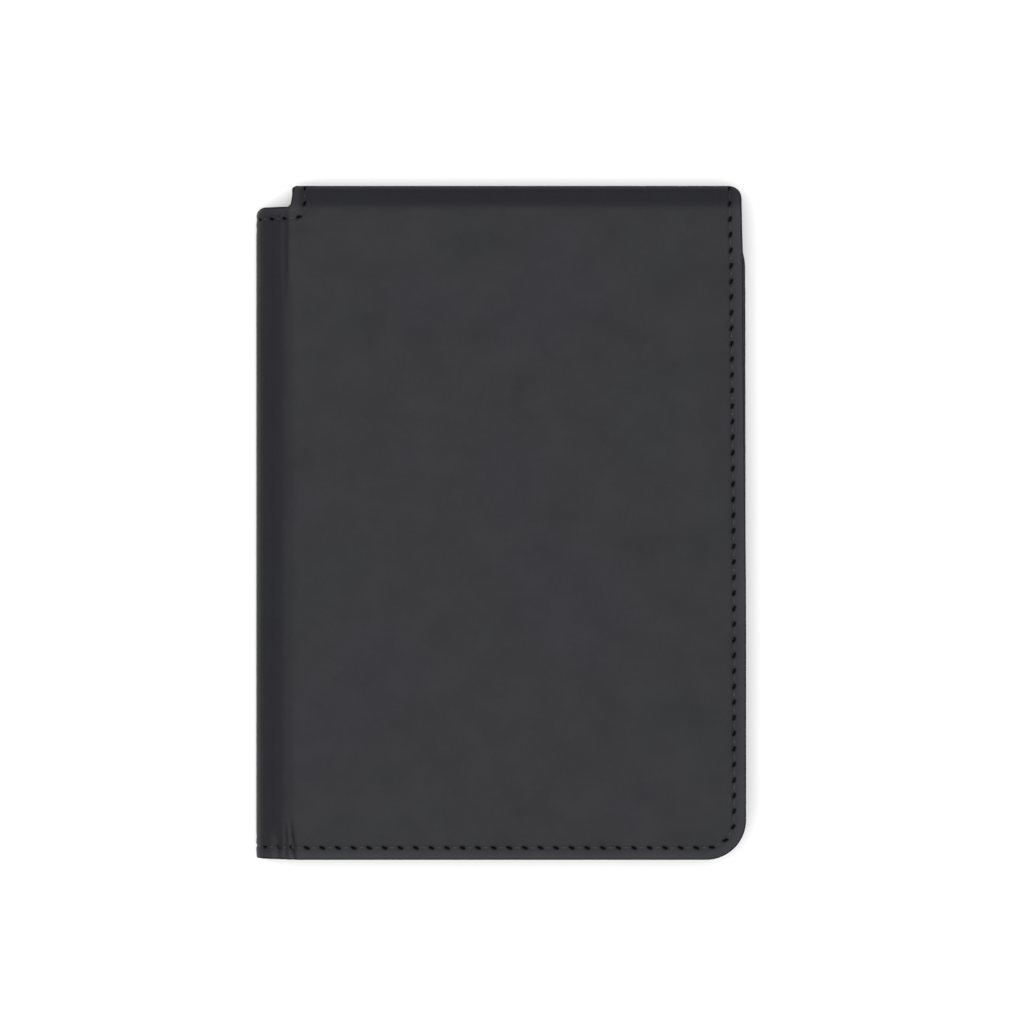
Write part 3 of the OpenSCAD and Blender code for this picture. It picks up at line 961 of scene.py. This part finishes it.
def polyester(name):
    """Waxed black sewing thread, with lighter flecks painted into its colour as glints of its filaments, and
    painted shade where it dives into a hole.
    """
    material, tree, shader = new_material(name, 0.4, 0.3)
    at = attribute(tree, "pattern").outputs["Vector"]
    filaments = noise(tree, at, 6.0, 3, 0.6)
    # painted glints: the colour is lighter on some filaments
    colour = mixed(tree, ramp(tree, filaments, 0.3, 0.7), (0.010, 0.010, 0.011), (0.036, 0.036, 0.040))
    # painted shade: near black where the thread dives into a hole
    hole = attribute(tree, "hole").outputs["Fac"]
    colour = mixed(tree, hole, colour, (0.002, 0.002, 0.002))
    tree.links.new(colour, shader.inputs["Base Color"])
    tree.links.new(ramp(tree, hole, 0, 1, 0.3, 0), shader.inputs["Specular IOR Level"])
    bumped(tree, shader, filaments, 0.03)
    return material


SHELL_LEATHER = leather("shell_leather", (0.0108, 0.0101, 0.0138), (0.0101, 0.0106, 0.0130),
                        (0.007, 0.007, 0.0075), 0.52, 0.15, 0.32)
# the inner leather and the edge paint are darker than the shell leather, partly their own darker tone and
# partly painted shade for the strip of back cover and panel seen in shadow past the front cover's free edge
PANEL_LEATHER_SHADED = leather("panel_leather_shaded", (0.0074, 0.0072, 0.0080), (0.0071, 0.0073, 0.0076),
                        (0.004, 0.004, 0.0043), 0.48, 0.16, 0.4)
EDGE_PAINT_SHADED = edge_paint("edge_paint", (0.004, 0.004, 0.0043), (0.009, 0.0088, 0.0086))
LINING_CLOTH = weave("lining_cloth", (0.008, 0.008, 0.009), (0.022, 0.022, 0.024), 3.0)
BOARD_CARD = cardboard("board_card")
THREAD = polyester("sewing_thread")


# ---- the outer leather

COVER_GRID = 1.5
FOLD_STEP = 0.35
HEAD_END = PATH["crease"]["s"] + PATH["crease"]["length"]
FOOT_START = PATH["foot"]["s"]
ALL_Y = (BOTTOM, TOP)


TURNED_ROLL = 0.2  # extra width of the rounding where the leather is turned in
HOLE_SHADE = (0.55, 1.15)  # from black to clear round a hole, where 1 is its rim
MARGIN_HIGHLIGHT_RUN = (0.2, 2.4)  # how far outside a seam the painted highlight on the margin starts, and where it is full


def shell_piece(name, outline, grids, cuts):
    obj, flat, on_face = build_sheet(name, outline, shell_outer, shell_inner, [SHELL_LEATHER, EDGE_PAINT_SHADED],
                                     grids, cuts=cuts, roll=TURNED_ROLL, extra=seam_points(SHELL_SEAMS))
    signed, _ = outward_of_seam(flat, SHELL_SEAMS)
    # painted shade: this mask blackens the leather in and round the stitch holes
    add_mask(obj, "hole", (1 - smooth(hole_reach(flat, SHELL_SEAMS), *HOLE_SHADE)) * on_face)
    # painted highlight: this mask lightens the leather on the margin outside a seam
    add_mask(obj, "margin_highlight", smooth(signed, *MARGIN_HIGHLIGHT_RUN) * on_face)
    return obj


# Across each fold, along the leather and half-way between its two sides
# Half-widths at fold A, at fold B and at crease C, one set for each layer
SHELL_BENDS, LINING_BENDS, PANEL_BENDS = (1.3, 1.25, 2.5), (1.2, 1.15, 2.2), (0.5, 0.5, 1.2)


def blend_at(obj):
    """Bakes a mesh's transform into its points."""
    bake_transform(obj)


def bend_group(pieces, half_a, half_b, half_c, nodes=None):
    """Bakes the transforms of the back, middle and front piece of one layer, and hides their CAD nodes.

    nodes are the CAD nodes that they stand for: lists for the back cover and the front cover,
    and between them the names of the spine's node and the hinge strip's node.
    """
    back, middle, front = pieces
    blend_at(back)
    blend_at(middle)
    blend_at(front)
    if nodes:
        on_back, on_spine, on_strip, on_front = nodes
        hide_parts(*on_back, on_spine)
        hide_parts(on_spine, on_strip)
        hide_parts(on_strip, *on_front)


BAND_CELL = (1.2, 0.35)  # finer points along the sloping top band and the sewn margins
BAND_LOW = SPINE_TOP - 1.5
FRONT_FLAT_S = HEAD_END + 3.5
BACK_FLAT_S = FOOT_START - 1.5
front_grids = [
    ((S_STRIP, FRONT_FLAT_S, *ALL_Y), FOLD_STEP, 0.8),
    ((HEAD_END + 1, S_END, BAND_LOW, TOP), *BAND_CELL),
    ((FRONT_FLAT_S, S_END, BOTTOM, BAND_LOW), COVER_GRID, COVER_GRID),
]
back_grids = [
    ((BACK_FLAT_S, S_SPINE, *ALL_Y), FOLD_STEP, 1.0),
    ((0, BACK_FLAT_S, BAND_LOW, TOP), *BAND_CELL),
    ((0, BACK_FLAT_S, BOTTOM, BAND_LOW), COVER_GRID, COVER_GRID),
]
middle_grids = [((S_SPINE, S_STRIP, *ALL_Y), FOLD_STEP, 0.9)]

shell = [
    shell_piece("back_shell_leather", shell_back_outline(), back_grids, [S_SPINE]),
    shell_piece("spine_shell_leather", middle_outline(S_SPINE, S_STRIP, spine_top), middle_grids,
                [S_SPINE, S_STRIP]),
    shell_piece("front_shell_leather", shell_front_outline(), front_grids, [S_STRIP]),
]
bend_group(shell, *SHELL_BENDS, (["back_outer_leather", "back_turned_hem"], "spine_leather",
                                 "hinge_strip_leather", ["front_outer_leather", "front_turned_hem"]))


# ---- inner panels

PANEL_SET = 0.12  # how far the panels stand back from the shell's edge


def panel_edge(edge):
    def inset(y):
        return edge(y) - PANEL_SET
    return inset


def panel_side(edge, top):
    """Bottom corner, free edge and large top corner of a panel, upwards, in x and y."""
    centre_x = float(edge(BOTTOM)) + PANEL_SET - CORNER_R
    points = arc((centre_x, BOTTOM + CORNER_R), CORNER_R - PANEL_SET, -90, 0, EDGE_STEP)
    points += free_side(edge, BOTTOM + CORNER_R, top - PANEL_R)
    corner_x = float(edge(top - PANEL_R)) - PANEL_R
    return points + arc((corner_x, top - PANEL_R), PANEL_R, 0, 90, EDGE_STEP) + [(corner_x, top)]


def panel_top(s):
    """Top edge of the inner leather, which follows the shell's over the spine."""
    return spine_top(s) - PANEL_SET * 0.5


PANEL_JOIN_X = LEFT + 10  # where a panel's straight top edge starts to follow the shell's


def panel_top_edge(s_from, s_to, count):
    return [(float(s), float(panel_top(s))) for s in np.linspace(s_from, s_to, count)]


def proud_back(y):
    """Free edge of the back cover below the part that is eased."""
    return RIGHT + BACK_PROUD


def front_panel_outline():
    side = panel_side(panel_edge(front_edge), SPINE_TOP)
    points = [(S_STRIP, BOTTOM + PANEL_SET)] + [(front_s(x), y) for x, y in side]
    return dense(points + panel_top_edge(front_s(PANEL_JOIN_X), S_STRIP, 24), EDGE_STEP)


def back_panel_outline():
    points = [(back_s(x), y) for x, y in panel_side(panel_edge(proud_back), SPINE_TOP)]
    points += panel_top_edge(back_s(PANEL_JOIN_X), S_SPINE, 24) + [(S_SPINE, BOTTOM + PANEL_SET)]
    return dense(points, EDGE_STEP)[::-1]


def middle_panel_outline():
    points = [(S_SPINE, BOTTOM + PANEL_SET), (S_STRIP, BOTTOM + PANEL_SET)]
    return dense(points + panel_top_edge(S_STRIP, S_SPINE, 16), EDGE_STEP)


def panel_face(s, y):
    """The panels' face that looks into the wallet, with the seam pressed into it."""
    return panel_inner(s, y) - groove(pairs(s, y), [EDGE_SEAM])


def panel_piece(name, outline, grids, cuts):
    obj, *_ = build_sheet(name, outline, panel_outer, panel_face, [PANEL_LEATHER_SHADED, EDGE_PAINT_SHADED],
                          grids, cuts=cuts)
    return obj


SEWN_W = 6  # width of the margin with finer points, where a panel is pressed onto the shell
SEWN_SIDE, SEWN_BOTTOM = (0.4, 1.2), (1.2, 0.4)


def panel_grids(fold, flat, edge):
    """Grids for a cover's panel over three stretches of s: the fold, the flat part and the free edge."""
    return [
        ((*fold, *ALL_Y), FOLD_STEP, 0.9),
        ((*edge, *ALL_Y), *SEWN_SIDE),
        ((*flat, BOTTOM, BOTTOM + SEWN_W), *SEWN_BOTTOM),
        ((*flat, BOTTOM + SEWN_W, TOP), 2.0, 2.0),
    ]


SEWN_S = S_END - SEWN_W
PANEL_FLAT_S = FOOT_START - 4.5
panel_grids_front = panel_grids((S_STRIP, FRONT_FLAT_S), (FRONT_FLAT_S, SEWN_S), (SEWN_S, S_END))
panel_grids_back = panel_grids((PANEL_FLAT_S, S_SPINE), (SEWN_W, PANEL_FLAT_S), (0, SEWN_W))

panels = [
    panel_piece("back_panel_leather", back_panel_outline(), panel_grids_back, [S_SPINE]),
    panel_piece("spine_panel_leather", middle_panel_outline(), middle_grids, [S_SPINE, S_STRIP]),
    panel_piece("front_panel_leather", front_panel_outline(), panel_grids_front, [S_STRIP]),
]
bend_group(panels, *PANEL_BENDS, (["back_inner_panel"], "spine_inner_leather",
                                  "hinge_strip_inner_leather", ["front_inner_panel"]))


# ---- linings and boards

def cloth_piece(name, outline, outer, inner, grids, cuts=(), material=LINING_CLOTH):
    obj, *_ = build_sheet(name, outline, outer, inner, [material, material], grids, edge=THIN_EDGE, cuts=cuts)
    return obj


LINED_X = RIGHT - BOARD_IN
LINED_BOTTOM = BOTTOM + BOARD_IN
LINING_TUCK = 0.25  # how far the lining stays inside the sewn bottom edge
SLEEVE_TOP = HEM_LOW - 0.1
LINING_STEP_X = {"back": -45.5, "front": -41.9}  # where the lining widens to the cover's fold


def sleeve_back_outline():
    """Lining of the sleeve on the back cover and half of the spine."""
    step = back_s(LINING_STEP_X["back"])
    points = [
        (back_s(LINED_X), LINED_BOTTOM), (step, LINED_BOTTOM), (step, BOTTOM + LINING_TUCK),
        (S_SPINE, BOTTOM + LINING_TUCK), (S_SPINE, float(spine_top(S_SPINE)) - LINING_TUCK),
        (step, SPINE_TOP - 1.0), (step, SLEEVE_TOP), (back_s(LINED_X), SLEEVE_TOP),
    ]
    return dense(points, 0.8)


def sleeve_front_outline():
    step = front_s(LINING_STEP_X["front"])
    points = [
        (S_STRIP, BOTTOM + LINING_TUCK), (step, BOTTOM + LINING_TUCK), (step, LINED_BOTTOM),
        (front_s(LINED_X), LINED_BOTTOM), (front_s(LINED_X), SLEEVE_TOP), (step, SLEEVE_TOP),
        (step, SPINE_TOP - 1.0), (S_STRIP, float(spine_top(S_STRIP)) - LINING_TUCK),
    ]
    return dense(points, 0.8)


def sleeve_middle_outline():
    return middle_outline(S_SPINE, S_STRIP, lambda s: spine_top(s) - LINING_TUCK)


def lining_grids(fold_s0, fold_s1, cover_s0, cover_s1):
    return [((fold_s0, fold_s1, *ALL_Y), FOLD_STEP, 1.2), ((cover_s0, cover_s1, *ALL_Y), 2.5, 2.5)]


sleeve = [
    cloth_piece("back_sleeve_cloth", sleeve_back_outline(), lining_outer, lining_inner,
                lining_grids(FOOT_START - 3, S_SPINE, 0, FOOT_START - 3), [S_SPINE]),
    cloth_piece("spine_sleeve_cloth", sleeve_middle_outline(), lining_outer, lining_inner,
                lining_grids(S_SPINE, S_STRIP, S_SPINE, S_STRIP), [S_SPINE, S_STRIP]),
    cloth_piece("front_sleeve_cloth", sleeve_front_outline(), lining_outer, lining_inner,
                lining_grids(S_STRIP, HEAD_END + 3, HEAD_END + 3, S_END), [S_STRIP]),
]
bend_group(sleeve, *LINING_BENDS, (["back_sleeve_lining"], "spine_sleeve_lining",
                                   "hinge_strip_sleeve_lining", ["front_sleeve_lining"]))


def rigid(obj, body, node):
    """A piece that moves with one body and stands for one CAD node."""
    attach(obj, body)
    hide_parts(node)


def rectangle(s0, s1, y0, y1):
    return dense([(s0, y0), (s1, y0), (s1, y1), (s0, y1)], 0.9)


def panel_cloth_outer(s, y):
    return panel_level(s) - LINING_T + SKIN


def panel_cloth_inner(s, y):
    return panel_level(s)


def board_outer(s, y):
    return np.full(np.shape(s), LEATHER_T + SKIN)


def board_inner(s, y):
    return np.full(np.shape(s), LINING_D - SKIN)


def cover_s(side, x0, x1):
    """The stretch of the pattern from x0 to x1 on one cover."""
    return (back_s(x1), back_s(x0)) if side == "back" else (front_s(x0), front_s(x1))


CLOTH_FROM = {"back": -43.8, "front": -40.4}
BOARD_FROM = {"back": -46.2, "front": -42.2}
for side in ("back", "front"):
    s0, s1 = cover_s(side, CLOTH_FROM[side], LINED_X)
    cloth = cloth_piece(side + "_panel_cloth", rectangle(s0, s1, LINED_BOTTOM, SPINE_TOP - 0.3),
                        panel_cloth_outer, panel_cloth_inner, [((s0, s1, *ALL_Y), 2.5, 2.5)])
    rigid(cloth, side + "_cover", side + "_panel_lining")
    s0, s1 = cover_s(side, BOARD_FROM[side], LINED_X)
    board = cloth_piece(side + "_stiff_board", rectangle(s0, s1, LINED_BOTTOM, HEM_LOW - 0.4),
                        board_outer, board_inner, [((s0, s1, *ALL_Y), 3.0, 3.0)], material=BOARD_CARD)
    rigid(board, side + "_cover", side + "_board")


# ---- card slots and passport pocket

SLOT_LEFT = box_mm("card_slot_1")[0].x
SLOT_SEAM_X = SLOT_LEFT + 1.8
SLOT_MOUTHS = [box_mm(f"card_slot_{i}")[1].y for i in (1, 2, 3, 4)]
POCKET_LEFT = box_mm("passport_pocket")[0].x
MARGIN_PRESS = 0.2  # how much thinner the slots are where they are sewn
MOUTH_LINE_IN, MOUTH_LINE_D, MOUTH_LINE_HALF = 1.3, 0.10, 0.25  # decorative line beside a mouth
SEAM_START = 1.2  # from a mouth to the first hole
slot_seam_ys = np.arange(SLOT_MOUTHS[0] - SEAM_START, BOTTOM + SEAM_IN + 1, -1.0)
SLOT_SEAM = make_seam([(back_s(SLOT_SEAM_X), y) for y in slot_seam_ys], -1)
pocket_seam_xs = np.arange(POCKET_LEFT + SEAM_START, RIGHT - PANEL_R, 1.0)
POCKET_SEAM = make_seam([(front_s(x), SPINE_TOP - SEAM_IN) for x in pocket_seam_xs], -1)


def pressed_flat(thickness, s, y):
    """Thickness of a pocket's leather, which is less where it is sewn."""
    return thickness * (1 - MARGIN_PRESS * sewn(s, y))


def stack_level(s, y, count):
    """Depth of the face of slot number count, or of the panel at 0."""
    return panel_inner(s, y) + count * pressed_flat(SLOT_T, s, y)


def mouth_line(past_mouth):
    """Depth of the pressed line below a mouth, which is at 0."""
    return MOUTH_LINE_D * bell(past_mouth + MOUTH_LINE_IN, MOUTH_LINE_HALF)


def slot_outline(mouth):
    """One card slot, from the wallet's bottom edge up to its mouth."""
    points = [(back_s(x), y) for x, y in panel_side(panel_edge(proud_back), SPINE_TOP)
              if y < mouth - EDGE_STEP / 4]
    points = [(back_s(SLOT_LEFT), BOTTOM + PANEL_SET)] + points
    points += [(PANEL_SET - BACK_PROUD, mouth), (back_s(SLOT_LEFT), mouth)]
    return dense(points, EDGE_STEP)[::-1]


def slot_piece(i):
    mouth = SLOT_MOUTHS[i - 1]

    def outer(s, y):
        return stack_level(s, y, i - 1) + SKIN

    def inner(s, y):
        dips = mouth_line(np.asarray(y, float) - mouth) + groove(pairs(s, y), [EDGE_SEAM, SLOT_SEAM])
        return stack_level(s, y, i) - dips

    s0, s1 = 0, back_s(SLOT_LEFT)
    grids = [
        ((s0, s1, mouth - 2.2, mouth), 1.4, 0.25),
        ((s1 - 3.2, s1, *ALL_Y), 0.35, 1.2),
        ((s0, s0 + SEWN_W, *ALL_Y), *SEWN_SIDE),
        ((s0 + SEWN_W, s1 - 3.2, BOTTOM, BOTTOM + SEWN_W), *SEWN_BOTTOM),
        ((s0 + SEWN_W, s1 - 3.2, *ALL_Y), 2.4, 2.4),
    ]
    obj, *_ = build_sheet(f"card_slot_leather_{i}", slot_outline(mouth), outer, inner,
                          [PANEL_LEATHER_SHADED, EDGE_PAINT_SHADED], grids, edge=THIN_EDGE)
    rigid(obj, "back_cover", f"card_slot_{i}")


for i in (1, 2, 3, 4):
    slot_piece(i)


POCKET_S = front_s(POCKET_LEFT)


def pocket_outline():
    side = [(front_s(x), y) for x, y in panel_side(panel_edge(front_edge), SPINE_TOP)]
    return dense([(POCKET_S, BOTTOM + PANEL_SET)] + side + [(POCKET_S, SPINE_TOP)], EDGE_STEP)


def pocket_face(s, y):
    dips = mouth_line(POCKET_S - np.asarray(s, float)) + groove(pairs(s, y), [EDGE_SEAM, POCKET_SEAM])
    return panel_inner(s, y) + pressed_flat(POCKET_T, s, y) - dips


pocket_grids = [
    ((POCKET_S, POCKET_S + 2.4, *ALL_Y), 0.25, 1.4),
    ((POCKET_S + 2.4, S_END, SPINE_TOP - 3.6, TOP), *BAND_CELL),
    ((S_END - SEWN_W, S_END, *ALL_Y), *SEWN_SIDE),
    ((POCKET_S + 2.4, S_END - SEWN_W, BOTTOM, BOTTOM + SEWN_W), *SEWN_BOTTOM),
    ((POCKET_S + 2.4, S_END - SEWN_W, *ALL_Y), 2.4, 2.4),
]
pocket, *_ = build_sheet("passport_pocket_leather", pocket_outline(),
                         lambda s, y: panel_inner(s, y) + SKIN, pocket_face,
                         [PANEL_LEATHER_SHADED, EDGE_PAINT_SHADED], pocket_grids, edge=THIN_EDGE)
rigid(pocket, "front_cover", "passport_pocket")


# ---- threads

SHELL_SLICES = {"back": (-1, S_SPINE), "spine": (S_SPINE, S_STRIP), "front": (S_STRIP, S_END + 1)}


def join(name, parts):
    """Several meshes as one."""
    with bpy.context.temp_override(active_object=parts[0], object=parts[0],
                                   selected_objects=parts, selected_editable_objects=parts):
        bpy.ops.object.join()
    parts[0].name = name
    return parts[0]


def seam_threads(name, seams, base, inward):
    """Threads of some seams, cut into the back, middle and front piece."""
    made = []
    for part, s_range in SHELL_SLICES.items():
        parts = [thread_mesh(f"{part}_{name}_{k}", seam, base, THREAD, s_range, inward)
                 for k, seam in enumerate(seams)]
        made.append(join(f"{part}_{name}", parts))
    return made


def shell_thread_base(s, y):
    return shell_base(s, y) + GROOVE_D


outer_threads = seam_threads("seam_thread", SHELL_SEAMS, shell_thread_base, False)
bend_group(outer_threads, *SHELL_BENDS, (["back_seam_stitches"], "spine_stitches",
                                         "hinge_strip_stitches", ["front_seam_stitches"]))


def top_layer(s, y):
    """Depth of the innermost face that the seams' inner threads lie on."""
    s, y = np.asarray(s, float), np.asarray(y, float)
    x = x_of(s)
    count = sum((y < mouth).astype(float) for mouth in SLOT_MOUTHS)
    on_slots = (s < S_MID) & (x > SLOT_LEFT)
    on_pocket = (s > S_MID) & (x > POCKET_LEFT) & (y < SPINE_TOP)
    level = stack_level(s, y, np.where(on_slots, count, 0))
    return level + on_pocket * pressed_flat(POCKET_T, s, y) - GROOVE_D


def in_panel(seam):
    """The part of a seam that also goes through the inner leather."""
    low = seam["holes"][:, 1] < SPINE_TOP - PANEL_R - 1
    index = np.nonzero(low)[0]
    return {k: v[index[0]:index[-1] + 1] if k in ("holes", "axis") else v for k, v in seam.items()}


inner_threads = seam_threads("inner_thread", [in_panel(EDGE_SEAM)], top_layer, True)
bend_group(inner_threads, *PANEL_BENDS)
rigid(thread_mesh("card_slot_thread", SLOT_SEAM, top_layer, THREAD, inward=True),
      "back_cover", "card_slot_stitches")
rigid(thread_mesh("passport_pocket_thread", POCKET_SEAM, top_layer, THREAD, inward=True),
      "front_cover", "passport_pocket_stitches")


for cloth, outline in ((sleeve[0], sleeve_back_outline()), (sleeve[2], sleeve_front_outline())):
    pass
for side in ("back", "front"):
    s0, s1 = cover_s(side, CLOTH_FROM[side], LINED_X)


# ---- floor, light and camera

FLOOR_HALF = 2.0  # in metres
FLOOR_COLOUR = (0.85, 0.85, 0.85, 1)


def add_floor():
    """A plain white table top just under the wallet."""
    mesh = bpy.data.meshes.new("floor")
    mesh.from_pydata([(-FLOOR_HALF, -FLOOR_HALF, 0), (FLOOR_HALF, -FLOOR_HALF, 0),
                      (FLOOR_HALF, FLOOR_HALF, 0), (-FLOOR_HALF, FLOOR_HALF, 0)], [], [(0, 1, 2, 3)])
    floor = bpy.data.objects.new("floor", mesh)
    bpy.context.scene.collection.objects.link(floor)
    material, _, shader = new_material("white_table", 0.9, 0.0)
    shader.inputs["Base Color"].default_value = FLOOR_COLOUR
    mesh.materials.append(material)


LAMP_R, LAMP_AT, LAMP_RADIANCE = 1.25, (-0.22, -0.14, 1.5), 3.25
FILL_STRENGTH, BACKDROP_STRENGTH = 0.28, 0.95  # of the surroundings: as light, and as seen by the camera


def add_lamp():
    """One large round soft lamp overhead, a little to the left."""
    data = bpy.data.lights.new("overhead_lamp", "AREA")
    data.shape = "DISK"
    data.size = 2 * LAMP_R
    data.energy = LAMP_RADIANCE * math.pi * math.pi * LAMP_R ** 2
    lamp = bpy.data.objects.new("overhead_lamp", data)
    lamp.location = LAMP_AT
    lamp.visible_camera = False
    bpy.context.scene.collection.objects.link(lamp)


def add_world():
    """Pale surroundings, which light the scene only a little."""
    world = bpy.data.worlds.new("studio")
    bpy.context.scene.world = world
    world.use_nodes = True
    tree = world.node_tree
    background = tree.nodes["Background"]
    background.inputs["Color"].default_value = (1, 1, 1, 1)
    seen = add_node(tree, "ShaderNodeLightPath").outputs["Is Camera Ray"]
    tree.links.new(ramp(tree, seen, 0, 1, FILL_STRENGTH, BACKDROP_STRENGTH), background.inputs["Strength"])


CAMERA_LENS, CAMERA_SENSOR = 150, 36
VIEW_WIDTH = 212.3  # width of the view at the wallet's top face
CAMERA_X, CAMERA_Y = 2.34, 2.15


def add_camera():
    """Straight above the wallet."""
    data = bpy.data.cameras.new("camera")
    data.lens, data.sensor_width = CAMERA_LENS, CAMERA_SENSOR
    camera = bpy.data.objects.new("camera", data)
    height = THICK + VIEW_WIDTH * CAMERA_LENS / CAMERA_SENSOR
    camera.location = (CAMERA_X * MM, CAMERA_Y * MM, height * MM)
    bpy.context.scene.collection.objects.link(camera)
    bpy.context.scene.camera = camera


add_floor()
add_lamp()
add_world()
add_camera()
bpy.context.scene.view_settings.view_transform = "Standard"
